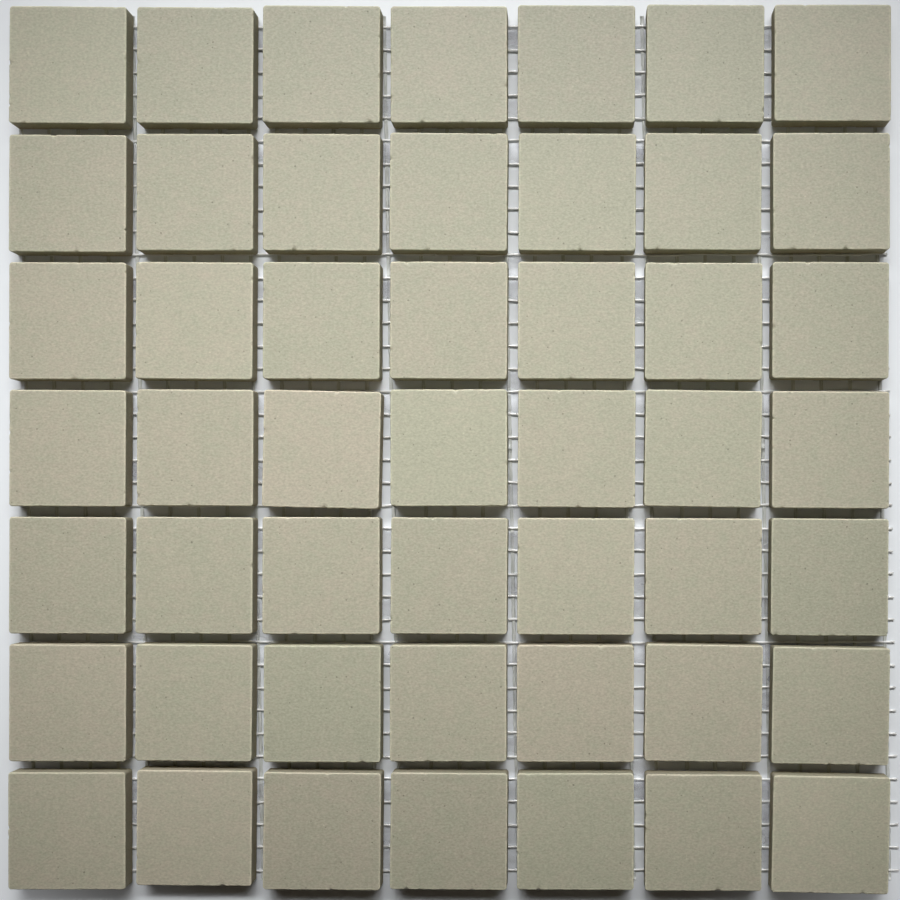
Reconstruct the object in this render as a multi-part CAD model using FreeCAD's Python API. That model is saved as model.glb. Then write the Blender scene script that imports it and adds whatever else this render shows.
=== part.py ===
import FreeCAD, Part
import math
import os
import random

# A sheet of small square unglazed porcelain tiles, glued by their backs to an open glass fibre net.
# The sheet lies on its net with the tile faces up. X runs along the rows, Y up the columns, +Z is up.
# The origin is the middle of the base of everything. All sizes are millimetres and degrees.

# Tiles
tile_side = 25.0
tile_thickness = 4.5
corner_radius = 0.7
corner_facets = 2
arris = 0.2
groove_count = 2
groove_spacing = 8.8
groove_width = 3.4
groove_floor_width = 2.4
groove_depth = 0.45

# How the tiles are set out
columns = 7
rows = 7
column_joint = 2.13
row_joint = 2.29

# How far a tile may be from its true place, turn and size, and how far all of them are turned
seed = 27
placing_slip = 0.12
placing_turn = 0.2
size_spread = 0.12
common_turn = -0.3

# The rows fan out: at the right edge of the sheet they stand this share further apart
row_fan = 0.0025

# Tiles that sit visibly off their place: how far in x and in y, and how much further turned
askew_tiles = {
    (1, 4): (-0.1, 0.0, 0.5),
    (1, 6): (0.6, 0.0, 0.0),
    (1, 7): (0.5, 0.2, 0.2),
    (2, 5): (0.3, 0.0, 0.0),
    (2, 7): (0.2, 0.2, 0.4),
    (3, 6): (0.0, -0.3, 0.2),
    (4, 3): (0.0, -0.2, -1.1),
    (4, 4): (0.0, 0.0, 0.5),
    (4, 5): (0.2, -0.2, 0.0),
    (4, 6): (0.0, -0.2, -0.5),
    (4, 7): (0.0, -0.25, 0.0),
    (5, 3): (-0.3, 0.0, 0.0),
    (5, 7): (0.0, -0.3, -0.3),
    (6, 2): (-0.3, 0.2, -0.3),
    (6, 4): (-0.2, 0.2, 0.3),
    (6, 5): (-0.2, 0.0, 0.0),
    (6, 6): (0.2, 0.2, -0.6),
    (6, 7): (0.2, -0.4, -0.5),
    (7, 1): (-0.25, 0.0, 0.35),
    (7, 2): (0.0, 0.65, -0.4),
    (7, 3): (0.0, 0.0, -0.5),
    (7, 5): (-0.2, 0.0, 0.1),
    (7, 7): (0.0, -0.4, -0.8),
}

# Tiles that came out of the kiln visibly small, and by how much
small_tiles = {(7, 2): 0.4}

# Net: the lower strands run up the columns and lean a little, the upper strands run along the rows
warp_pitch = 6.17
warp_width = 0.9
warp_height = 0.3
warp_lean = 1.1
weft_pitch = 4.945
weft_width = 0.42
weft_height = 0.32

# Lower strands that were glued visibly out of line, counted from 0 at -X, and by how much in x
stray_warps = {13: -0.95, 21: 0.4, 22: -0.4, 26: -0.6, 30: 0.4}

# Where the net was cut, from the edges of the field of tiles
first_warp_inset = 1.86
first_weft_inset = 3.07
last_weft_inset = 2.6
weft_tail_left = 1.05
weft_tail_right = 2.4
warp_tail_bottom = 2.2
warp_tail_top = 2.4

# Worked out sizes
net_thickness = warp_height + weft_height
column_pitch = tile_side + column_joint
row_pitch = tile_side + row_joint
field_width = columns * column_pitch - column_joint
field_height = rows * row_pitch - row_joint
warp_count = int((field_width - first_warp_inset) / warp_pitch) + 1
weft_count = int((field_height - first_weft_inset - last_weft_inset) / weft_pitch) + 1
lean_slope = math.tan(math.radians(warp_lean))


def polygon_face(points, z):
    """A flat face through the points (x, y), at the height z."""
    corners = [FreeCAD.Vector(x, y, z) for x, y in points]
    return Part.Face(Part.makePolygon(corners + corners[:1]))


def prism(points, z, height):
    """The outline (x, y) points carried straight up from z by height."""
    return polygon_face(points, z).extrude(FreeCAD.Vector(0, 0, height))


def rounded_square(side, radius, facets):
    """The points of a square whose corners are arcs, each of them cut into a few facets."""
    middle = side / 2 - radius
    points = []
    for corner in range(4):
        for step in range(facets + 1):
            angle = math.radians(90 * (corner + step / facets))
            x = math.copysign(middle, math.cos(math.radians(90 * corner + 45)))
            y = math.copysign(middle, math.sin(math.radians(90 * corner + 45)))
            points.append((x + radius * math.cos(angle), y + radius * math.sin(angle)))
    return points


def key_groove(x, side):
    """A groove with sloping walls across the whole back of a tile, where the adhesive takes hold."""
    profile = [
        FreeCAD.Vector(x - groove_width / 2, -side, 0),
        FreeCAD.Vector(x + groove_width / 2, -side, 0),
        FreeCAD.Vector(x + groove_floor_width / 2, -side, groove_depth),
        FreeCAD.Vector(x - groove_floor_width / 2, -side, groove_depth),
    ]
    face = Part.Face(Part.makePolygon(profile + profile[:1]))
    return face.extrude(FreeCAD.Vector(0, 2 * side, 0))


def pressed_tile(side):
    """One tile about its own middle, back down at z = 0: rounded corners, broken arris, keyed back."""
    outline = rounded_square(side, corner_radius, corner_facets)
    tile = prism(outline, 0, tile_thickness)
    top_edges = [edge for edge in tile.Edges if edge.BoundBox.ZMin > tile_thickness - 0.001]
    tile = tile.makeChamfer(arris, top_edges)
    first = -(groove_count - 1) / 2 * groove_spacing
    for index in range(groove_count):
        tile = tile.cut(key_groove(first + index * groove_spacing, side))
    return tile


def tile_place(row, column, chance):
    """Where a tile sits on the net and how far it is turned. Row 1 is at +Y, column 1 at -X."""
    x = (column - (columns + 1) / 2) * column_pitch
    y = ((rows + 1) / 2 - row) * row_pitch
    y *= 1 + row_fan * x / (field_width / 2)
    slip_x, slip_y, turn = askew_tiles.get((row, column), (0.0, 0.0, 0.0))
    x += slip_x + chance.uniform(-placing_slip, placing_slip)
    y += slip_y + chance.uniform(-placing_slip, placing_slip)
    turn += common_turn + chance.uniform(-placing_turn, placing_turn)
    return FreeCAD.Placement(
        FreeCAD.Vector(x, y, net_thickness),
        FreeCAD.Rotation(FreeCAD.Vector(0, 0, 1), turn),
    )


def warp_x(index, y):
    """The true place of one lower strand at the height y: it leans towards +X as y falls."""
    return -field_width / 2 + first_warp_inset + index * warp_pitch - lean_slope * y


def weft_y(index):
    """The middle line of one upper strand."""
    return -field_height / 2 + first_weft_inset + index * weft_pitch


def warp_strand(index, low, high):
    """A lower strand from y = low to y = high: a sheared strip with its ends square to the rows."""
    half = warp_width / 2
    low_x = warp_x(index, low) + stray_warps.get(index, 0.0)
    high_x = warp_x(index, high) + stray_warps.get(index, 0.0)
    points = [(low_x - half, low), (low_x + half, low), (high_x + half, high), (high_x - half, high)]
    return prism(points, 0, warp_height)


def weft_strand(index, left, right):
    """An upper strand from x = left to x = right, lying on the lower strands."""
    low = weft_y(index) - weft_width / 2
    high = low + weft_width
    points = [(left, low), (right, low), (right, high), (left, high)]
    return prism(points, warp_height, weft_height)


def net_quarter(warps, wefts):
    """One quarter of the net, fused at its crossings. It meets its neighbours half way between strands."""
    first_warp, last_warp = warps[0], warps[-1]
    first_weft, last_weft = wefts[0], wefts[-1]
    tail_low = warp_tail_bottom if first_weft == 0 else weft_pitch / 2
    tail_high = warp_tail_top if last_weft == weft_count - 1 else weft_pitch / 2
    tail_left = weft_tail_left if first_warp == 0 else warp_pitch / 2
    tail_right = weft_tail_right if last_warp == warp_count - 1 else warp_pitch / 2
    low = weft_y(first_weft) - tail_low
    high = weft_y(last_weft) + tail_high
    strands = [warp_strand(index, low, high) for index in warps]
    for index in wefts:
        left = warp_x(first_warp, weft_y(index)) - tail_left
        right = warp_x(last_warp, weft_y(index)) + tail_right
        strands.append(weft_strand(index, left, right))
    return strands[0].multiFuse(strands[1:]).removeSplitter()


def build_net():
    """The net as four quarters, each named for its place."""
    left = list(range(warp_count // 2))
    right = list(range(warp_count // 2, warp_count))
    near = list(range(weft_count // 2))
    far = list(range(weft_count // 2, weft_count))
    return {
        "net_near_left": net_quarter(left, near),
        "net_near_right": net_quarter(right, near),
        "net_far_left": net_quarter(left, far),
        "net_far_right": net_quarter(right, far),
    }


def build_tiles():
    """Every tile of the field as its own piece, named by its row and column."""
    chance = random.Random(seed)
    tiles = {}
    for row in range(1, rows + 1):
        for column in range(1, columns + 1):
            side = tile_side + chance.uniform(-size_spread, size_spread)
            tile = pressed_tile(side - small_tiles.get((row, column), 0.0))
            tile.Placement = tile_place(row, column, chance)
            tiles[f"tile_r{row}_c{column}"] = tile
    return tiles


def main():
    """Build the sheet, put the origin at the middle of its base, and write one file for each piece."""
    pieces = {**build_net(), **build_tiles()}
    box = Part.makeCompound(list(pieces.values())).optimalBoundingBox(False)
    to_origin = FreeCAD.Vector(-box.Center.x, -box.Center.y, -box.ZMin)
    os.makedirs("parts", exist_ok=True)
    for name, shape in pieces.items():
        moved = shape.translated(to_origin)
        moved.exportStep(f"parts/{name}.step")
    print(f"{len(pieces)} pieces, {warp_count} by {weft_count} strands")
    print(f"sheet {box.XLength:.2f} x {box.YLength:.2f} x {box.ZLength:.2f} mm")


main()
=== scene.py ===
# %% [markdown]
# # A sheet of mosaic tiles on its net
# The real thing is forty-nine small porcelain tiles, pressed from coloured clay and fired without
# a glaze, then glued by their backs to an open net so that a whole square of floor goes down in
# one piece. This script dresses a ready-made frame of plain solids with surfaces fine enough for a
# close look. The frame says where everything is; nothing here moves it. Loading comes first.

# %% Load the frame
import math

import bpy
import numpy as np
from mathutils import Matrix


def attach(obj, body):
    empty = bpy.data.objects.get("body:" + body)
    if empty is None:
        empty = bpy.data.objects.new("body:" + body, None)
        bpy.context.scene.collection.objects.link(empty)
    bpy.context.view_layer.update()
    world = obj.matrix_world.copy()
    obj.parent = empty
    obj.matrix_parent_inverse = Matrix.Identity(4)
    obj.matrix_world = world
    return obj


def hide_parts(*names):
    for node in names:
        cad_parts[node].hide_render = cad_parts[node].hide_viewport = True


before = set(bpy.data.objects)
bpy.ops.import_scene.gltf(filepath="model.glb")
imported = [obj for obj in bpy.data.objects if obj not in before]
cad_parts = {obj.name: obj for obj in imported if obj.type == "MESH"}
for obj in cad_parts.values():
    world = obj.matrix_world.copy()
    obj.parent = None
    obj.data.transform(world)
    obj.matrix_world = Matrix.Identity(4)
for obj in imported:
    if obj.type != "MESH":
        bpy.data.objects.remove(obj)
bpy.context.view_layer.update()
MM = 0.001

# %% [markdown]
# ## Reading the tiles' places
# A worker lays each tile into a grid by hand, so no tile is quite square to its row. The frame
# holds a plain block for each, and a block's turn can be read from its own corners. Written as
# complex numbers x + iy around the middle, the corners of a square raised to the fourth power all
# point the same way, and a turn by some angle turns that sum by four times as much. One line of
# arithmetic then gives the turn, with no need to know which corner is which.

# %% Measure every tile block
SAME = 0.01 * MM
BACK_DEPTH = 1 * MM
CORNER_CLEAR = 2 * MM


def corners_of(node):
    """All the corners of a frame node's mesh, as rows of x, y, z in metres."""
    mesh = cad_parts[node].data
    corners = np.empty(len(mesh.vertices) * 3)
    mesh.vertices.foreach_get("co", corners)
    return corners.reshape(-1, 3)


def measure_tile(node):
    """Place, turn, side, base and top of a block, and the profile of the grooves in its back.

    The turn is a quarter of the angle of the negated sum of (x + iy)^4 over the top corners. The
    side is twice the farthest reach of the corners, once they are turned back.
    """
    corners = corners_of(node)
    base, top = corners[:, 2].min(), corners[:, 2].max()
    face = corners[corners[:, 2] > top - SAME]
    face = np.unique(np.round(face, 7), axis=0)
    centre = (face.min(axis=0) + face.max(axis=0))[:2] / 2
    spread = (face[:, 0] - centre[0]) + 1j * (face[:, 1] - centre[1])
    turn = np.angle(-(spread**4).sum()) / 4
    flat = (corners[:, 0] - centre[0] + 1j * (corners[:, 1] - centre[1])) * np.exp(-1j * turn)
    side = 2 * np.abs(flat.real).max()
    low = (corners[:, 2] < base + BACK_DEPTH) & (np.abs(flat.real) < side / 2 - CORNER_CLEAR)
    grooves = np.c_[flat.real[low], corners[low, 2] - base]
    grooves = np.unique(np.round(grooves, 5), axis=0)
    return {
        "centre": centre, "turn": turn, "side": side, "base": base, "top": top,
        "groove_x": grooves[:, 0], "groove_z": grooves[:, 1],
    }


tile_nodes = sorted(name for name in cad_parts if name.startswith("tile_"))
tiles = {name: measure_tile(name) for name in tile_nodes}
centres = np.array([tile["centre"] for tile in tiles.values()])
field_centre = centres.mean(axis=0)
turns = np.degrees([tile["turn"] for tile in tiles.values()])
print(len(tiles), "tiles, turned by", turns.min().round(2), "to", turns.max().round(2), "degrees")
print("groove profile in mm:", (tiles[tile_nodes[0]]["groove_x"] / MM).round(2).tolist())

# %% [markdown]
# ## The outline of one tile
# A pressed tile is a square block with rounded upright corners and a narrow broken edge, the
# arris, around its face. Fired clay chips and crumbles along that edge, and no side is quite
# straight. A bevelled cube could stand in from far off, but its edges would be ruler lines. So
# the outline is a closed row of points with a direction at each, and two formulas roughen it: a
# sum of cosines for the long waves, and blunt dips for the chips.

# %% Outline, waves and chips
SIDE_POINTS = 80
CORNER_POINTS = 8
CORNER_RADIUS = 0.7 * MM
CHIP_WIDTHS = (0.8, 2.6)
SMALLEST_CHIP = 0.2
SMALLEST_WAVE = 0.3


def rounded_square(side):
    """Points around a rounded square and the outward normal at each, counter-clockwise from +X.

    Each quarter is an arc, corner centre + radius * (cos a, sin a), then a straight run to the
    next arc. The run's points divide it evenly, and its normal is square to it.
    """
    middle = side / 2 - CORNER_RADIUS
    angle = np.linspace(0, math.pi / 2, CORNER_POINTS)
    arc = np.exp(1j * angle)
    run = np.linspace(1, -1, SIDE_POINTS + 2)[1:-1]
    quarter = np.r_[middle * (1 + 1j) + CORNER_RADIUS * arc, middle * run + 1j * side / 2]
    normal = np.r_[arc, np.full(SIDE_POINTS, 1j)]
    points = np.concatenate([quarter * 1j**k for k in range(4)])
    normals = np.concatenate([normal * 1j**k for k in range(4)])
    return points, normals


def snap_to_grooves(points, groove_x, side):
    """Moves the nearest point on each grooved side onto each groove edge, so that it stays crisp."""
    for sign in (1, -1):
        on_side = np.flatnonzero(points.imag * sign > side / 2 - SAME)
        nearest = np.abs(points.real[on_side, None] - groove_x[None]).argmin(axis=0)
        points[on_side[nearest]] = groove_x + 1j * points.imag[on_side[nearest]]
    return points


def wobble(count, waves, size, fall, chance):
    """A closed wavy line of count values: a sum of cosines, wave k as tall as size / k^fall."""
    k = np.arange(1, waves + 1)
    phase = chance.uniform(0, 2 * math.pi, waves)
    height = size / k**fall * chance.uniform(SMALLEST_WAVE, 1, waves)
    around = np.arange(count) / count * 2 * math.pi
    return (height * np.cos(around[:, None] * k + phase)).sum(axis=1)


def chips(count, how_many, deepest, chance):
    """Depth of the chips around the edge, each a blunt dip: depth * (1 - (s / width)^2).

    Lengths along the edge are counted in points. A depth is the deepest times a number drawn by lot
    and squared, so that most chips are small.
    """
    along = np.arange(count)
    place = chance.uniform(0, count, how_many)[:, None]
    width = chance.uniform(*CHIP_WIDTHS, how_many)[:, None]
    depth = deepest * chance.uniform(SMALLEST_CHIP, 1, how_many)[:, None] ** 2
    gap = np.abs((along - place + count / 2) % count - count / 2)
    return np.clip(depth * (1 - (gap / width) ** 2), 0, None).max(axis=0)


print(len(rounded_square(tiles[tile_nodes[0]]["side"])[0]), "points around a tile")


# %% [markdown]
# ## From rings to a closed tile
# The sides are one grid: the row is a ring, the column is the point around it. Breaking the
# arris is a single rule. Write a point's distance in from the side as d and down from the face as
# h. Wherever d + h is less than the width of the broken edge, both grow by the same amount until
# they add up to it. An even width gives a clean bevel, a rough one gives crumbled clay, and a
# local bump in the width is a chip. The back closes with flat strips between the groove edges.

# %% Tile surface
FACE_STEPS = np.array([2.0, 1.2, 0.5, 0.3, 0.2, 0.1, 0.0]) * MM
INSET = 0.5 * MM
SIDE_STEPS = np.array([0.1, 0.2, 0.3, 0.6, 1.6]) * MM
LOW_STEPS = np.array([1.1, 0.55, 0.12, 0.0]) * MM
SIDE_WAVES, SIDE_WAVE_SIZE, SIDE_WAVE_FALL = 14, 0.015 * MM, 0.7
CRUMB_WAVES, CRUMB_SIZE, CRUMB_FALL = 110, 0.06, 0.2
CRUMB_LIMITS = (0.6, 1.5)
ARRIS_WIDTH = 0.17 * MM
DEEPEST_CHIP = 0.4 * MM
CHIPS = 9
EDGE_REACH = 0.6 * MM
EDGE_SQUASH = 2.5
SKIN_DEPTH = 0.35 * MM
BACK_ARRIS = 0.08 * MM
GROOVE_FADE = 1.2 * MM
SQUARE_ON = 0.99


def ring_steps(thickness):
    """How far each ring is in from the side and down from the face, from the face to the base."""
    down = np.r_[np.zeros(len(FACE_STEPS)), SIDE_STEPS, thickness - LOW_STEPS]
    inward = np.zeros(len(down))
    inward[: len(FACE_STEPS)] = FACE_STEPS
    inward[-1] = BACK_ARRIS
    return inward[:, None], down[:, None]


def ring_faces(rings, count):
    """Four-sided faces between neighbouring rings: point j of ring i, then ring i + 1, then j + 1."""
    i, j = np.mgrid[0 : rings - 1, 0:count]
    after = (j + 1) % count
    corners = [i * count + j, (i + 1) * count + j, (i + 1) * count + after, i * count + after]
    return np.stack(corners, axis=-1).reshape(-1, 4).tolist()


def back_strips(outline, groove_x, side, first):
    """The flat strips of the back: each holds the last ring's points between two groove edges."""
    limits = np.r_[-side, groove_x, side]
    strips = []
    for low, high in zip(limits[:-1], limits[1:]):
        inside = np.flatnonzero((outline.real > low - SAME) & (outline.real < high + SAME))
        strips.append((first + inside[::-1]).tolist())
    return strips


def tile_surface(tile, chance):
    """Vertices and faces of one tile in its place, and its masks for the edge and the pressed skin.

    A point is outline - normal * (d + wave), with d and h from the ring, both grown by half of what
    is missing where d + h < arris + chip. Beyond half a millimetre in, a ring is only shrunk
    towards the middle. Near the base the sides are squeezed up to the grooves. The edge mask is
    (1 - distance from the edge / reach)^2 and falls off faster down the side than across the face.
    """
    side, thickness = tile["side"], tile["top"] - tile["base"]
    outline, normal = rounded_square(side)
    outline = snap_to_grooves(outline, tile["groove_x"], side)
    count = len(outline)
    inward, down = ring_steps(thickness)
    wave = wobble(count, SIDE_WAVES, SIDE_WAVE_SIZE, SIDE_WAVE_FALL, chance)
    crumbs = wobble(count, CRUMB_WAVES, CRUMB_SIZE, CRUMB_FALL, chance)
    rough = np.clip(1 + crumbs, *CRUMB_LIMITS)
    broken = ARRIS_WIDTH * rough + chips(count, CHIPS, DEEPEST_CHIP, chance)
    grown = np.maximum(broken - inward - down, 0) / 2
    inset = np.minimum(inward, INSET)
    plan = outline - normal * (inset + wave - wave.min() + grown)
    plan = plan * (1 - (inward - inset) / (side / 2)) * np.exp(1j * tile["turn"])
    height = thickness - down - grown
    groove = np.interp(outline.real, tile["groove_x"], tile["groove_z"], left=0, right=0)
    groove = np.where(np.abs(normal.imag) > SQUARE_ON, groove, 0)
    height = height + groove * np.clip(1 - height / GROOVE_FADE, 0, 1)
    x, y = plan.real + tile["centre"][0], plan.imag + tile["centre"][1]
    vertices = np.stack([x, y, height + tile["base"]], axis=-1).reshape(-1, 3)
    # The edge mask carries a paler tone and a painted highlight along the broken edge.
    away = np.hypot(inward, EDGE_SQUASH * down) / EDGE_REACH
    edge = np.clip(1 - away, 0, 1) ** 2 + np.zeros(count)
    skin = np.clip(1 - down / SKIN_DEPTH, 0, 1) + np.zeros(count)
    strips = back_strips(outline, tile["groove_x"], side, count * (len(inward) - 1))
    faces = ring_faces(len(inward), count) + [list(range(count))] + strips
    return vertices, faces, {"edge": edge.ravel(), "skin": skin.ravel()}


# %% [markdown]
# ## Pressing the tiles
# Each tile comes from its own batch of clay and its own spot in the kiln, so its colour differs a
# little. The eye picks this up at once on a laid floor. Two numbers ride along with every tile for
# its material to read: how light it is, and how warm. Every tile draws both by lot, and the few
# that stand out in the sheet are named with what they get on top. The extra lightness is partly
# the tile's own tone and partly painted light: the two far corner tiles are lightened where the
# window's light falls off. The warmth also drifts evenly across the sheet, by so much a metre in x
# and in y. Two more numbers are masks: one for the broken edge, which is paler and carries a
# painted highlight, and one for the face, which the press has made smoother than the sides.

# %% Make the tiles
def make_piece(name, vertices, faces):
    """A new object from arrays of corners and faces, at the origin and riding with the sheet."""
    mesh = bpy.data.meshes.new(name)
    mesh.from_pydata(vertices, [], faces)
    mesh.update()
    piece = bpy.data.objects.new(name, mesh)
    bpy.context.scene.collection.objects.link(piece)
    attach(piece, "root")
    return piece


def add_values(piece, name, values):
    """Stores one number for each corner of the piece, for its material to read."""
    layer = piece.data.attributes.new(name, "FLOAT", "POINT")
    layer.data.foreach_set("value", np.asarray(values, dtype=np.float32))


TILE_SEED = 4
LIGHT_SPREAD = 0.012
WARM_SPREAD = 0.1
WARM_MIDDLE = 0.06
WARM_DRIFT = np.array([-1.1, -1.6])
# Extra lightness for single tiles: their own tone, and painted light on the two far corner tiles.
TILE_TONE_AND_PAINTED_LIGHT = {
    "tile_r1_c1": 0.07, "tile_r1_c5": -0.04, "tile_r1_c7": 0.05, "tile_r3_c2": 0.04,
    "tile_r4_c3": 0.04, "tile_r4_c4": 0.05, "tile_r5_c1": -0.05, "tile_r5_c7": -0.07,
    "tile_r6_c3": -0.05, "tile_r7_c2": 0.05, "tile_r7_c3": -0.05, "tile_r7_c4": -0.05,
    "tile_r7_c7": 0.13,
}
WARMER = {
    "tile_r2_c5": -0.25, "tile_r3_c1": 0.3, "tile_r4_c2": 0.25, "tile_r4_c3": 0.35,
    "tile_r4_c4": -0.25, "tile_r6_c1": 0.3, "tile_r6_c3": -0.3, "tile_r6_c5": 0.35,
    "tile_r6_c6": 0.35, "tile_r7_c2": 0.25, "tile_r7_c3": 0.25, "tile_r7_c5": -0.3,
}
SHARP_ANGLE = math.radians(55)

chance = np.random.default_rng(TILE_SEED)
tile_pieces = {}
for name, tile in tiles.items():
    vertices, faces, masks = tile_surface(tile, chance)
    piece = make_piece(name.replace("tile", "porcelain"), vertices, faces)
    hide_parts(name)
    # The listed lightness holds painted light for the far corner tiles as well as their own tone.
    light = TILE_TONE_AND_PAINTED_LIGHT.get(name, 0) + chance.normal(0, LIGHT_SPREAD)
    warm = WARMER.get(name, 0) + chance.normal(0, WARM_SPREAD)
    warm += WARM_MIDDLE + WARM_DRIFT @ tile["centre"]
    masks["light"] = np.full(len(vertices), light)
    masks["warm"] = np.full(len(vertices), warm)
    for label, values in masks.items():
        add_values(piece, label, values)
    piece.data.shade_smooth()
    piece.data.set_sharp_from_angle(angle=SHARP_ANGLE)
    tile_pieces[name] = piece
print(len(tile_pieces), "tiles made, with", len(vertices), "corners each")

# %% [markdown]
# ## Reading the net's strands
# The net is glass fibre yarn stuck together with resin. The frame has every strand as a flat bar,
# already fused to the ones it crosses, so a strand is found again by its corners. The lower bars
# are the only thing that touches the floor, and their corners come in pairs at the two ends. The
# upper bars are the only thing at the top, where their corners pair up by height on the sheet.

# %% Find the middle line of every strand
def lower_strands(node):
    """Two end points for each bar that runs up the columns, from the corners on the floor."""
    floor = corners_of(node)
    floor = floor[floor[:, 2] < SAME]
    ends = []
    for y in (floor[:, 1].min(), floor[:, 1].max()):
        x = np.unique(np.round(floor[np.abs(floor[:, 1] - y) < SAME, 0], 6))
        ends.append(np.c_[(x[0::2] + x[1::2]) / 2, np.full(len(x) // 2, y)])
    return np.stack(ends, axis=1)


def upper_strands(node):
    """Two end points for each bar that runs along the rows, from the corners at the top."""
    top = corners_of(node)
    top = top[top[:, 2] > top[:, 2].max() - SAME]
    y, which = np.unique(np.round(top[:, 1], 6), return_inverse=True)
    left, right = np.full(len(y), np.inf), np.full(len(y), -np.inf)
    np.minimum.at(left, which, top[:, 0])
    np.maximum.at(right, which, top[:, 0])
    middle = (y[0::2] + y[1::2]) / 2
    return np.stack([np.c_[left[0::2], middle], np.c_[right[0::2], middle]], axis=1)


net_nodes = sorted(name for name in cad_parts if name.startswith("net_"))
net_bars = {name: (lower_strands(name), upper_strands(name)) for name in net_nodes}
net_top = max(corners_of(name)[:, 2].max() for name in net_nodes)
for name, (lower, upper) in net_bars.items():
    print(name, len(lower), "lower and", len(upper), "upper strands")

# %% [markdown]
# ## Cords that wander
# A bar becomes a tube: a closed profile carried along a path. An upper strand is one round cord.
# A lower strand is a flat tape, two yarns side by side with resin in the valley between them. The
# wander of a strand is two sines of the distance along it, and their phase grows with the
# strand's own number times an angle that never repeats, so neighbours differ and yet the two
# halves of one strand still meet at the cut between quarters.

# %% Strand surfaces
LOWER_HEIGHT = 0.30 * MM
LOWER_WIDTH = 0.88 * MM
UPPER_HEIGHT = 0.32 * MM
UPPER_WIDTH = 0.56 * MM
UPPER_WANDER, UPPER_WAVE = 0.085 * MM, 2.1 * MM
LOWER_WANDER, LOWER_WAVE = 0.03 * MM, 4.3 * MM
SWELL, SWELL_LENGTH = 0.07, 0.9 * MM
VALLEY = 0.6
STEP = 1.15 * MM
UPPER_SIDES = 8
TAPE_SIDES = 14
GOLDEN = 2.4
SLOW_WAVE, SLOW_PHASE, SLOW_SIZE = 2.6, 1.7, 1.3

upper_y = np.unique(np.concatenate([upper[:, 0, 1] for _, upper in net_bars.values()]).round(5))
upper_pitch = np.median(np.diff(upper_y))


def wander(along, number, size, length):
    """Sideways drift of a strand: size * sin(s / length + 2.4 n), and a longer wave on top."""
    slow = np.sin(along / (SLOW_WAVE * length) + SLOW_PHASE * GOLDEN * number)
    return size * (np.sin(along / length + GOLDEN * number) + SLOW_SIZE * slow)


def upper_paths(bars):
    """Points along each upper strand: x runs evenly, y wanders, z is constant."""
    steps = int(np.ptp(bars[:, :, 0]) / STEP)
    share = np.linspace(0, 1, steps)
    x = bars[:, :1, 0] + (bars[:, 1:, 0] - bars[:, :1, 0]) * share
    number = bars[:, :1, 1] / upper_pitch
    y = bars[:, :1, 1] + wander(x, number, UPPER_WANDER, UPPER_WAVE)
    return np.stack([x, y, np.full_like(x, net_top - UPPER_HEIGHT / 2)], axis=-1)


def lower_paths(bars):
    """Points along each lower strand: y runs evenly, x leans with the bar and wanders a little."""
    steps = int(np.ptp(bars[:, :, 1]) / STEP)
    share = np.linspace(0, 1, steps)
    rise = bars[:, 1:] - bars[:, :1]
    x = bars[:, :1, 0] + rise[:, :, 0] * share
    y = bars[:, :1, 1] + rise[:, :, 1] * share
    number = (bars[:, :1, 0] - bars[:, :1, 1] * rise[:, :, 0] / rise[:, :, 1]) / upper_pitch
    x = x + wander(y, number, LOWER_WANDER, LOWER_WAVE)
    return np.stack([x, y, np.full_like(x, LOWER_HEIGHT / 2)], axis=-1)


def round_profile(width, height, sides):
    """An oval around zero, w / 2 cos a + i h / 2 sin a."""
    angle = np.arange(sides) / sides * 2 * math.pi
    return width / 2 * np.cos(angle) + 1j * height / 2 * np.sin(angle)


def tape_profile(width, height, sides):
    """Two yarns side by side as one outline: an oval whose height follows two humps.

    At u from the middle a hump is as tall as sqrt(1 - ((|u| - c) / r)^2), with c and r a quarter of
    the width. Between the two humps the resin fills the valley up to six tenths of that height.
    """
    angle = (np.arange(sides) + 0.5) / sides * 2 * math.pi
    u = width / 2 * np.cos(angle)
    off = (np.abs(u) - width / 4) / (width / 4)
    hump = np.sqrt(np.clip(1 - off**2, 0, 1))
    hump = np.where(off < 0, np.maximum(hump, VALLEY), hump)
    return u + 1j * height / 2 * hump * np.sign(np.sin(angle))


def tubes(paths, profile, running_x):
    """The profile carried along every path: middle + sideways * real part + up * imaginary part.

    The width swells and shrinks along the strand, by 1 + swell * sin(s / length + y).
    """
    strands, steps = paths.shape[:2]
    sides = len(profile)
    along = paths[..., 0 if running_x else 1]
    swell = 1 + SWELL * np.sin(along / SWELL_LENGTH + paths[..., 1] / MM)
    ring = np.zeros((strands, steps, sides, 3))
    ring[..., 1 if running_x else 0] = profile.real * swell[..., None] / swell.max()
    ring[..., 2] = profile.imag
    vertices = (paths[:, :, None] + ring).reshape(-1, 3)
    index = np.arange(strands * steps * sides).reshape(strands, steps, sides)
    after = np.roll(index, -1, axis=2)
    corners = [index[:, :-1], index[:, 1:], after[:, 1:], after[:, :-1]]
    walls = np.stack(corners, axis=-1).reshape(-1, 4)
    walls = walls if running_x else walls[:, ::-1]
    ends = np.concatenate([index[:, 0], index[:, -1, ::-1]])
    ends = ends[:, ::-1] if running_x else ends
    return vertices, walls.tolist() + ends.tolist()


print(len(upper_y), "upper strands in all,", (upper_pitch / MM).round(2), "mm apart")


# %% [markdown]
# ## Films of dried glue
# Here and there the glue that holds the tiles has crept into a joint and dried as a thin film
# across an opening of the net. From above it is a slightly darker, slightly shinier window. There
# is most glue to spare where four tiles meet, so an opening next to each crossing gets one. A film
# a few hundredths of a millimetre thick needs no back, so each is one open sagging patch. They
# only matter where they show, so they are all put in the upright joints.

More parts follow.
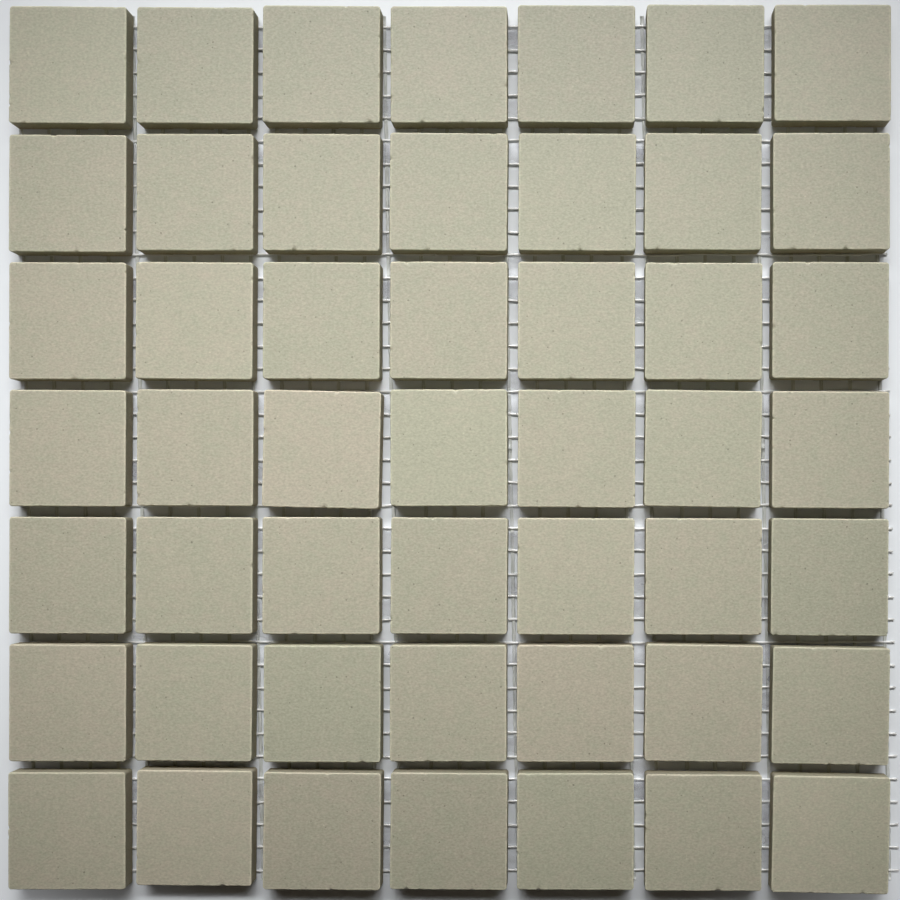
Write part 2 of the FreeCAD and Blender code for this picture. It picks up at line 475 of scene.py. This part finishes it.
# %% Films
FILM_SEED = 11
FILMS = 60
PAST_CROSSING = 9.3 * MM
FILM_STEPS = 9
FILM_HALF_WIDTH = 1.5 * MM
FILM_SLIP = 0.1 * MM
FILM_SHARES = (0.3, 0.5)
FILM_TAPER, FILM_RIPPLE, FILM_SKEW = 0.15, 0.12, 0.06
FILM_DEPTH, FILM_RISE, FILM_DENT = 0.7, 0.3, 0.1
tiles_in_row = math.isqrt(len(tiles))


def film(centre, half_x, half_y, lean):
    """A sagging patch over u and v from -1 to 1.

    x = half_x u (1 - taper v^2), so it narrows towards its two ends. y = half_y v, made wavy and
    askew by the lean. z rises with v^2 from its lowest in the middle, and has small dents.
    """
    u, v = np.meshgrid(np.linspace(-1, 1, FILM_STEPS), np.linspace(-1, 1, FILM_STEPS))
    ripple = 1 + FILM_RIPPLE * np.sin(3 * u + lean)
    dents = FILM_DENT * np.sin(2.5 * u + 3 * lean)
    x = centre[0] + half_x * u * (1 - FILM_TAPER * v**2)
    y = centre[1] + half_y * v * ripple + FILM_SKEW * half_y * lean * u
    z = net_top - UPPER_HEIGHT * (FILM_DEPTH - FILM_RISE * v**2 + dents)
    index = np.arange(FILM_STEPS**2).reshape(FILM_STEPS, FILM_STEPS)
    corners = [index[:-1, :-1], index[:-1, 1:], index[1:, 1:], index[1:, :-1]]
    faces = np.stack(corners, axis=-1).reshape(-1, 4).tolist()
    return np.stack([x, y, z], axis=-1).reshape(-1, 3), faces


def films_of_sheet():
    """Films in the upright joints: one near each crossing, and the others at random openings."""
    chance = np.random.default_rng(FILM_SEED)
    columns = np.sort(centres[:, 0]).reshape(-1, tiles_in_row).mean(axis=1)
    joints = (columns[:-1] + columns[1:]) / 2
    near_corners = np.sort(centres[:, 1]).reshape(-1, tiles_in_row).mean(axis=1) + PAST_CROSSING
    spots = [(x, y) for x in joints for y in near_corners]
    spots += list(zip(chance.choice(joints, FILMS), chance.uniform(upper_y[0], upper_y[-1], FILMS)))
    made = []
    for x, y in spots:
        x = x + chance.normal(0, FILM_SLIP)
        low = np.searchsorted(upper_y, y) - 1
        y = upper_y[low] + upper_pitch / 2
        half_y = upper_pitch * chance.uniform(*FILM_SHARES)
        made.append(film((x, y), FILM_HALF_WIDTH, half_y, chance.uniform(-1, 1)))
    return made


all_films = films_of_sheet()
print(len(all_films), "films of glue")


# %% [markdown]
# ## Weaving the four quarters
# The frame cuts the net into quarters, and so does this script, so that each piece stands in for
# one node. All the surfaces of a quarter go into one mesh: cords first, then tapes, then films.
# Which polygon gets which material follows from that order alone, so counting is enough.

# %% Make the four quarters of the net
def joined(parts):
    """Several surfaces as one: their corners stacked, their faces counted on from each other."""
    vertices, faces, first = [], [], 0
    for corners, polygons in parts:
        vertices.append(corners)
        faces += [[first + index for index in polygon] for polygon in polygons]
        first += len(corners)
    return np.concatenate(vertices), faces


cord_profile = round_profile(UPPER_WIDTH, UPPER_HEIGHT, UPPER_SIDES)
strip_profile = tape_profile(LOWER_WIDTH, LOWER_HEIGHT, TAPE_SIDES)
net_pieces = {}
for name, (lower, upper) in net_bars.items():
    cords = tubes(upper_paths(upper), cord_profile, True)
    tapes = tubes(lower_paths(lower), strip_profile, False)
    box_low, box_high = corners_of(name).min(axis=0)[:2], corners_of(name).max(axis=0)[:2]
    middles = [patch[0].mean(axis=0)[:2] for patch in all_films]
    mine = [patch for patch, at in zip(all_films, middles)
            if (at > box_low).all() and (at < box_high).all()]
    piece = make_piece(name.replace("net", "mesh"), *joined([cords, tapes, *mine]))
    piece.data.shade_smooth()
    number = np.arange(len(piece.data.polygons))
    kind = (number >= len(cords[1])).astype(np.int32) + (number >= len(cords[1]) + len(tapes[1]))
    piece.data.polygons.foreach_set("material_index", kind)
    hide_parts(name)
    net_pieces[name] = piece
    print(name, len(piece.data.polygons), "faces,", len(mine), "films")

# %% [markdown]
# ## Tools for the materials
# Every colour here comes from the place on the object, in metres, so a speck stays where it is and
# keeps its size from any side. These short functions put down one kind of node each. The mottle is
# used by several materials, so it is a node group of its own: noise, pulled away from its middle
# value until soft clouds appear.

# %% Materials: shared effects
def node_group(name, inputs, outputs):
    """An empty shader node group with number sockets; returns it and its two end nodes."""
    group = bpy.data.node_groups.new(name, "ShaderNodeTree")
    for label, kind, value in inputs:
        made = group.interface.new_socket(label, in_out="INPUT", socket_type=kind)
        if value is not None:
            made.default_value = value
    for label in outputs:
        group.interface.new_socket(label, in_out="OUTPUT", socket_type="NodeSocketFloat")
    return group, group.nodes.new("NodeGroupInput"), group.nodes.new("NodeGroupOutput")


def math_node(tree, operation, first, second=0.5, third=0.5):
    """A math node whose inputs are sockets or plain numbers; returns its result."""
    made = tree.nodes.new("ShaderNodeMath")
    made.operation = operation
    for socket, value in zip(made.inputs, (first, second, third)):
        if isinstance(value, (int, float)):
            socket.default_value = value
        else:
            tree.links.new(value, socket)
    return made.outputs[0]


def noise_node(tree, place, size, detail=2.0, rough=0.5):
    """Noise with features of the given size in metres; returns its value."""
    made = tree.nodes.new("ShaderNodeTexNoise")
    made.inputs["Detail"].default_value = detail
    made.inputs["Roughness"].default_value = rough
    tree.links.new(place, made.inputs["Vector"])
    if isinstance(size, (int, float)):
        made.inputs["Scale"].default_value = 1 / size
    else:
        tree.links.new(math_node(tree, "DIVIDE", 1.0, size), made.inputs["Scale"])
    return made.outputs["Fac"]


def make_mottle():
    """Soft cloudy patches, 0 to 1: noise stretched around its middle by the contrast."""
    floats = [("Size", "NodeSocketFloat", 0.01), ("Contrast", "NodeSocketFloat", 2.0)]
    group, start, end = node_group("mottle", [("Place", "NodeSocketVector", None), *floats], ["Value"])
    cloud = noise_node(group, start.outputs["Place"], start.outputs["Size"])
    raised = math_node(group, "SUBTRACT", cloud, 0.5)
    value = math_node(group, "MULTIPLY_ADD", raised, start.outputs["Contrast"], 0.5)
    value = math_node(group, "MINIMUM", math_node(group, "MAXIMUM", value, 0.0), 1.0)
    group.links.new(value, end.inputs[0])
    return group


mottle = make_mottle()


def use_mottle(tree, place, size, contrast):
    """Adds the mottle group to a material; returns its value."""
    made = tree.nodes.new("ShaderNodeGroup")
    made.node_tree = mottle
    made.inputs["Size"].default_value = size
    made.inputs["Contrast"].default_value = contrast
    tree.links.new(place, made.inputs["Place"])
    return made.outputs["Value"]


def new_material(name):
    """A material with its shader; returns the material, its tree, the shader and the place socket."""
    material = bpy.data.materials.new(name)
    material.use_nodes = True
    tree = material.node_tree
    place = tree.nodes.new("ShaderNodeTexCoord").outputs["Object"]
    return material, tree, tree.nodes["Principled BSDF"], place


def stretched(tree, place, factors):
    """The place with each coordinate multiplied by its own factor."""
    made = tree.nodes.new("ShaderNodeVectorMath")
    made.operation = "MULTIPLY"
    made.inputs[1].default_value = factors
    tree.links.new(place, made.inputs[0])
    return made.outputs[0]


def mix_colours(tree, share, first, second, kind="MIX"):
    """Mixes two colours, each a socket or three numbers, by a share; returns the colour."""
    made = tree.nodes.new("ShaderNodeMix")
    made.data_type = "RGBA"
    made.blend_type = kind
    for socket, value in ((made.inputs[0], share), (made.inputs[6], first), (made.inputs[7], second)):
        if isinstance(value, tuple):
            socket.default_value = (*value, 1)
        elif isinstance(value, (int, float)):
            socket.default_value = value
        else:
            tree.links.new(value, socket)
    return made.outputs[2]


def read_value(tree, name):
    """The piece's own number of that name."""
    made = tree.nodes.new("ShaderNodeAttribute")
    made.attribute_name = name
    return made.outputs["Fac"]


# %% [markdown]
# ## Unglazed porcelain
# The body of the tile is its surface: there is no glaze to shine, only fired clay with fine sand
# in it. Four things make it up. Two beiges lie in soft patches, one a little green and one a
# little pink. A grain varies the tone from one clay particle to the next. A few grains are open
# pores, dark, and a few are pale sand. Along the broken edge the clay is lighter, and a painted
# highlight brightens it further. The pressed face has a faint sheen; the sides are quite dull, and
# their colour is painted darker and browner towards the foot: painted shade in the deep joints.

# %% Materials: porcelain
GREENISH = (0.432, 0.428, 0.317)
PINKISH = (0.463, 0.421, 0.325)
# Painted shade: the sides darken and turn browner to this colour at the foot, deep in the joints.
PAINTED_FOOT_SHADE = (0.74, 0.68, 0.62)
WIDE_PATCH, WIDE_CONTRAST, WIDE_WARMTH, WIDE_TONE = 8 * MM, 2.6, 0.5, 0.024
CLOSE_PATCH, CLOSE_CONTRAST, CLOSE_WARMTH, CLOSE_TONE = 1.3 * MM, 2.2, 0.65, 0.022
PATCH_WARMTH = 0.27
ALONG_ROWS = (0.6, 1.0, 1.0)
GRAIN_SIZE, GRAIN_DETAIL, GRAIN_ROUGH = 0.36 * MM, 3.0, 0.7
GRAIN_TONE = 0.85
PORE_SPACING, PORE_SHARE, PORE_REACH, PORE_TONE = 1.1 * MM, 0.2, 0.2, -0.35
SAND_SPACING, SAND_SHARE, SAND_REACH, SAND_TONE = 0.9 * MM, 0.14, 0.24, 0.14
CLAY_TONE = 0.977
# How much paler the broken edge is painted: partly paler clay, partly a painted highlight.
EDGE_PALE_AND_HIGHLIGHT = 0.7
GRAIN_DEPTH, GRAIN_STRENGTH = 0.03 * MM, 0.6
SIDE_ROUGHNESS, SIDE_SHEEN = 0.9, 0.1
SKIN_ROUGHNESS, SKIN_SHEEN = -0.4, 0.4


def specks(tree, place, spacing, share, reach):
    """1 inside rare round spots: cells of a Voronoi grid are drawn by lot, and so is their size."""
    cells = tree.nodes.new("ShaderNodeTexVoronoi")
    cells.inputs["Scale"].default_value = 1 / spacing
    tree.links.new(place, cells.inputs["Vector"])
    lots = tree.nodes.new("ShaderNodeSeparateColor")
    tree.links.new(cells.outputs["Color"], lots.inputs[0])
    chosen = math_node(tree, "LESS_THAN", lots.outputs[0], share)
    size = math_node(tree, "MULTIPLY", lots.outputs[1], reach)
    inside = math_node(tree, "LESS_THAN", cells.outputs["Distance"], size)
    return math_node(tree, "MULTIPLY", inside, chosen)


def paint_foot_shade(tree, place):
    """White at the height of the faces, sinking to the painted shade colour at the foot in step with the
    height.
    """
    parts = tree.nodes.new("ShaderNodeSeparateXYZ")
    tree.links.new(place, parts.inputs[0])
    base, top = tiles[tile_nodes[0]]["base"], tiles[tile_nodes[0]]["top"]
    height = math_node(tree, "SUBTRACT", parts.outputs[2], float(base))
    share = math_node(tree, "MULTIPLY", height, float(1 / (top - base)))
    return mix_colours(tree, share, PAINTED_FOOT_SHADE, (1.0, 1.0, 1.0))


def make_porcelain():
    """Unglazed clay: two beiges in soft patches, fine grain, open pores, pale sand, a pale edge with a
    painted highlight and painted shade at the foot.
    """
    material, tree, shader, place = new_material("porcelain")
    drawn_out = stretched(tree, place, ALONG_ROWS)
    wide = use_mottle(tree, place, WIDE_PATCH, WIDE_CONTRAST)
    close = use_mottle(tree, drawn_out, CLOSE_PATCH, CLOSE_CONTRAST)
    warmth = math_node(tree, "MULTIPLY_ADD", wide, WIDE_WARMTH, read_value(tree, "warm"))
    warmth = math_node(tree, "SUBTRACT", warmth, PATCH_WARMTH)
    warmth = math_node(tree, "MULTIPLY_ADD", close, CLOSE_WARMTH, warmth)
    clay = mix_colours(tree, warmth, GREENISH, PINKISH)
    grain = noise_node(tree, drawn_out, GRAIN_SIZE, GRAIN_DETAIL, GRAIN_ROUGH)
    uneven = math_node(tree, "SUBTRACT", grain, 0.5)
    shade = math_node(tree, "MULTIPLY_ADD", uneven, GRAIN_TONE, CLAY_TONE)
    shade = math_node(tree, "MULTIPLY_ADD", wide, WIDE_TONE, shade)
    shade = math_node(tree, "MULTIPLY_ADD", close, CLOSE_TONE, shade)
    shade = math_node(tree, "ADD", shade, read_value(tree, "light"))
    pores = specks(tree, place, PORE_SPACING, PORE_SHARE, PORE_REACH)
    sand = specks(tree, place, SAND_SPACING, SAND_SHARE, SAND_REACH)
    shade = math_node(tree, "MULTIPLY_ADD", pores, PORE_TONE, shade)
    shade = math_node(tree, "MULTIPLY_ADD", sand, SAND_TONE, shade)
    # The broken edge is painted paler, partly as a painted highlight.
    shade = math_node(tree, "MULTIPLY_ADD", read_value(tree, "edge"), EDGE_PALE_AND_HIGHLIGHT, shade)
    grey = tree.nodes.new("ShaderNodeCombineColor")
    for socket in grey.inputs:
        tree.links.new(shade, socket)
    colour = mix_colours(tree, 1.0, clay, grey.outputs[0], "MULTIPLY")
    # Painted shade: darker and browner towards the foot of the sides.
    colour = mix_colours(tree, 1.0, colour, paint_foot_shade(tree, place), "MULTIPLY")
    skin = read_value(tree, "skin")
    tree.links.new(colour, shader.inputs["Base Color"])
    bump = tree.nodes.new("ShaderNodeBump")
    bump.inputs["Distance"].default_value = GRAIN_DEPTH
    bump.inputs["Strength"].default_value = GRAIN_STRENGTH
    tree.links.new(math_node(tree, "SUBTRACT", grain, pores), bump.inputs["Height"])
    tree.links.new(bump.outputs[0], shader.inputs["Normal"])
    roughness = math_node(tree, "MULTIPLY_ADD", skin, SKIN_ROUGHNESS, SIDE_ROUGHNESS)
    sheen = math_node(tree, "MULTIPLY_ADD", skin, SKIN_SHEEN, SIDE_SHEEN)
    tree.links.new(roughness, shader.inputs["Roughness"])
    tree.links.new(sheen, shader.inputs["Specular IOR Level"])
    return material


porcelain = make_porcelain()
for piece in tile_pieces.values():
    piece.data.materials.append(porcelain)
print("porcelain has", len(porcelain.node_tree.nodes), "nodes")

# %% [markdown]
# ## Yarn, tape and film
# Glass yarn is white because light gets lost between its many fibres. Soaked in resin it lets
# light through instead, so the round upper cords, which carry little resin, stay white and shiny,
# while the flat lower tapes look grey and faintly green over a pale floor. The films are nearly
# clear. Streaks are the mottle again, in a place squeezed across the strand, so its clouds are
# drawn out along it.

# %% Materials: cord, tape and film
CORD_COLOURS = (0.93, 0.94, 0.93), (0.99, 0.99, 0.98)
TAPE_COLOURS = (0.52, 0.54, 0.51), (0.80, 0.82, 0.80)
FILM_COLOUR = (0.62, 0.63, 0.68)
ALONG_CORD = (0.3, 2.0, 2.0)
ALONG_TAPE = (2.5, 0.18, 1.0)
STREAK_SIZE, CORD_CONTRAST, TAPE_CONTRAST = 0.5 * MM, 2.0, 2.6
LIGHT_DEPTH = 0.3 * MM
FILM_CLOUD, FILM_CONTRAST = 3 * MM, 1.8
CLEAR_OPACITY, CLOUD_OPACITY = 0.1, 0.3


def make_cord():
    """White glass yarn, streaked along X: light spreads inside it, and it has a soft shine."""
    material, tree, shader, place = new_material("cord")
    streaks = use_mottle(tree, stretched(tree, place, ALONG_CORD), STREAK_SIZE, CORD_CONTRAST)
    colour = mix_colours(tree, streaks, *CORD_COLOURS)
    tree.links.new(colour, shader.inputs["Base Color"])
    shader.inputs["Subsurface Weight"].default_value = 0.2
    shader.inputs["Subsurface Radius"].default_value = (1.0, 1.0, 1.0)
    shader.inputs["Subsurface Scale"].default_value = LIGHT_DEPTH
    shader.inputs["Roughness"].default_value = 0.35
    shader.inputs["Specular IOR Level"].default_value = 1.0
    shader.inputs["Coat Weight"].default_value = 1.0
    shader.inputs["Coat Roughness"].default_value = 0.25
    return material


def make_tape():
    """Yarn soaked with resin: grey-green, streaked along Y."""
    material, tree, shader, place = new_material("tape")
    streaks = use_mottle(tree, stretched(tree, place, ALONG_TAPE), STREAK_SIZE, TAPE_CONTRAST)
    colour = mix_colours(tree, streaks, *TAPE_COLOURS)
    tree.links.new(colour, shader.inputs["Base Color"])
    shader.inputs["Roughness"].default_value = 0.28
    return material


def make_film():
    """A nearly clear skin of dried glue, cloudy in places and streaked along X."""
    material, tree, shader, place = new_material("film")
    cloud = use_mottle(tree, stretched(tree, place, ALONG_ROWS), FILM_CLOUD, FILM_CONTRAST)
    opacity = math_node(tree, "MULTIPLY_ADD", cloud, CLOUD_OPACITY, CLEAR_OPACITY)
    tree.links.new(opacity, shader.inputs["Alpha"])
    shader.inputs["Base Color"].default_value = (*FILM_COLOUR, 1)
    shader.inputs["Roughness"].default_value = 0.4
    return material


net_materials = [make_cord(), make_tape(), make_film()]
for piece in net_pieces.values():
    for material in net_materials:
        piece.data.materials.append(material)
print("net materials:", [material.name for material in net_materials])

# %% [markdown]
# ## The table
# The sheet lies on a pale, level top. It is scenery: it shows how the net lets the ground through
# and it throws light back up into the joints, but it is no part of the sheet. The window only
# reaches the ground around the sheet. Further out, seen from low down, the table and the room
# behind it would be black, so there they turn to one plain pale tone. Only rays straight from the
# camera see that tone, and so it puts no light on the tiles.

# %% Floor
FLOOR_SIDE = 3.0
FLOOR_COLOURS = (0.87, 0.905, 0.94), (0.895, 0.93, 0.965)
FLOOR_CLOUD, FLOOR_CONTRAST = 0.05, 1.5
PALE = (0.72, 0.74, 0.77)
LIT_REACH = 0.105
PALE_REACH = 0.2


def seen_by_camera(tree):
    """1 for a ray straight from the camera, 0 for any other."""
    return tree.nodes.new("ShaderNodeLightPath").outputs["Is Camera Ray"]


def mixed_shaders(tree, share, first, second, output):
    """Shows the first shader where the share is 0 and the second where it is 1."""
    made = tree.nodes.new("ShaderNodeMixShader")
    for socket, value in zip(made.inputs, (share, first.outputs[0], second.outputs[0])):
        tree.links.new(value, socket)
    tree.links.new(made.outputs[0], output.inputs["Surface"])


def far_out(tree, place):
    """0 near the sheet, rising smoothly to 1 at the pale reach, by the distance from the origin."""
    distance = tree.nodes.new("ShaderNodeVectorMath")
    distance.operation = "LENGTH"
    tree.links.new(place, distance.inputs[0])
    rise = tree.nodes.new("ShaderNodeMapRange")
    rise.interpolation_type = "SMOOTHSTEP"
    rise.inputs["From Min"].default_value = LIT_REACH
    rise.inputs["From Max"].default_value = PALE_REACH
    tree.links.new(distance.outputs["Value"], rise.inputs["Value"])
    return rise.outputs["Result"]


def make_floor():
    """A pale level table top under the sheet, plain pale for the camera where the light ends."""
    half = FLOOR_SIDE / 2
    corners = [(-half, -half, 0), (half, -half, 0), (half, half, 0), (-half, half, 0)]
    mesh = bpy.data.meshes.new("table_top")
    mesh.from_pydata(corners, [], [(0, 1, 2, 3)])
    table = bpy.data.objects.new("table_top", mesh)
    bpy.context.scene.collection.objects.link(table)
    material, tree, shader, place = new_material("table_top")
    cloud = use_mottle(tree, place, FLOOR_CLOUD, FLOOR_CONTRAST)
    colour = mix_colours(tree, cloud, *FLOOR_COLOURS)
    tree.links.new(colour, shader.inputs["Base Color"])
    shader.inputs["Roughness"].default_value = 0.5
    plain = tree.nodes.new("ShaderNodeEmission")
    plain.inputs["Color"].default_value = (*PALE, 1)
    share = math_node(tree, "MULTIPLY", far_out(tree, place), seen_by_camera(tree))
    mixed_shaders(tree, share, shader, plain, tree.nodes["Material Output"])
    mesh.materials.append(material)


make_floor()
print("floor", FLOOR_SIDE, "m wide, plain pale from", PALE_REACH, "m out")

# %% [markdown]
# ## A window to one side
# One broad window lights the sheet from beyond its far edge, about fifty degrees high. Its light
# runs down the upright joints but not across the level ones, which stay dark. How wide the window
# is decides how much of it the floor of a joint can see between two tiles. It is built as five
# panes in an arc. The further a pane is to the side, the smaller its share of the light, and the
# further to that side it is aimed. Each pane throws its light forwards in a cone, so the near
# rows get less of it. What the walls of a room throw back is a weak warm light from all around.

# %% Light
KEY_PLACE = (0.003, 0.352, 0.444)
KEY_AIM = (-0.0066, 0.0066, 0.005)
KEY_SIDES = (0.293, 0.18)
KEY_POWER = 0.247
KEY_SPREAD = 26.2
PANES = {-35: 0.12, -17.5: 0.21, 0: 0.34, 17.5: 0.21, 35: 0.12}
AIM_STEP = 0.0012
FILL = (0.0217, 0.0170, 0.0123)


def make_pane(turn, share):
    """One pane: the middle one carried round its aim by the turn, then moved to that side a little."""
    data = bpy.data.lights.new("window", "AREA")
    data.shape = "RECTANGLE"
    data.size, data.size_y = KEY_SIDES
    data.energy = KEY_POWER * share
    data.spread = math.radians(KEY_SPREAD)
    arm = np.subtract(KEY_PLACE, KEY_AIM)
    flat = (arm[0] + 1j * arm[1]) * np.exp(1j * math.radians(turn))
    light = bpy.data.objects.new("window", data)
    light.location = np.add(KEY_AIM, (flat.real - AIM_STEP * turn, flat.imag, arm[2]))
    light.rotation_euler = (math.acos(arm[2] / np.linalg.norm(arm)), 0, math.atan2(flat.real, -flat.imag))
    bpy.context.scene.collection.objects.link(light)


def make_room():
    """The weak warm light from all around, behind a plain pale tone that only the camera sees."""
    world = bpy.data.worlds.new("room")
    world.use_nodes = True
    tree = world.node_tree
    room = tree.nodes["Background"]
    room.inputs["Color"].default_value = (*FILL, 1)
    plain = tree.nodes.new("ShaderNodeBackground")
    plain.inputs["Color"].default_value = (*PALE, 1)
    mixed_shaders(tree, seen_by_camera(tree), room, plain, tree.nodes["World Output"])
    bpy.context.scene.world = world


for turn, share in PANES.items():
    make_pane(turn, share)
make_room()
print("window of", len(PANES), "panes,", KEY_POWER, "W in all")

# %% [markdown]
# ## Looking straight down
# The camera looks straight down, so the sheet stays square in the picture, but it stands to one
# side of the sheet's middle. That is why the tiles on the left show their right-hand sides. The
# lens is shifted back by the same amount, as on a view camera, which frames the sheet again
# without tilting anything. How high it stands follows from the lens and from the width of a
# tile in the picture, 117.2 pixels.

# %% Camera
IMAGE_SIDE = 900
MM_PER_PIXEL = 25.0 / 117.2
LENS = 51.0
SENSOR = 36.0
SQUARE_ON_PIXEL = (573, 515)
PICTURE_OFFSET = np.array([0.22, -0.41]) * MM


def make_camera():
    """A camera square to the tile faces, above one pixel of the picture and shifted to frame it."""
    width = IMAGE_SIDE * MM_PER_PIXEL * MM
    top = max(tile["top"] for tile in tiles.values())
    shift_x = SQUARE_ON_PIXEL[0] / IMAGE_SIDE - 0.5
    shift_y = 0.5 - SQUARE_ON_PIXEL[1] / IMAGE_SIDE
    data = bpy.data.cameras.new("camera")
    data.lens, data.sensor_width = LENS, SENSOR
    data.shift_x, data.shift_y = -shift_x, -shift_y
    camera = bpy.data.objects.new("camera", data)
    x, y = field_centre + PICTURE_OFFSET + np.array([shift_x, shift_y]) * width
    camera.location = (x, y, top + width * LENS / SENSOR)
    data.clip_start, data.clip_end = 0.01, 10
    bpy.context.scene.collection.objects.link(camera)
    bpy.context.scene.camera = camera
    print("camera", round(width * LENS / SENSOR, 3), "m above the faces, shifted", round(-shift_x, 3))


make_camera()
bpy.context.scene.view_settings.view_transform = "Standard"
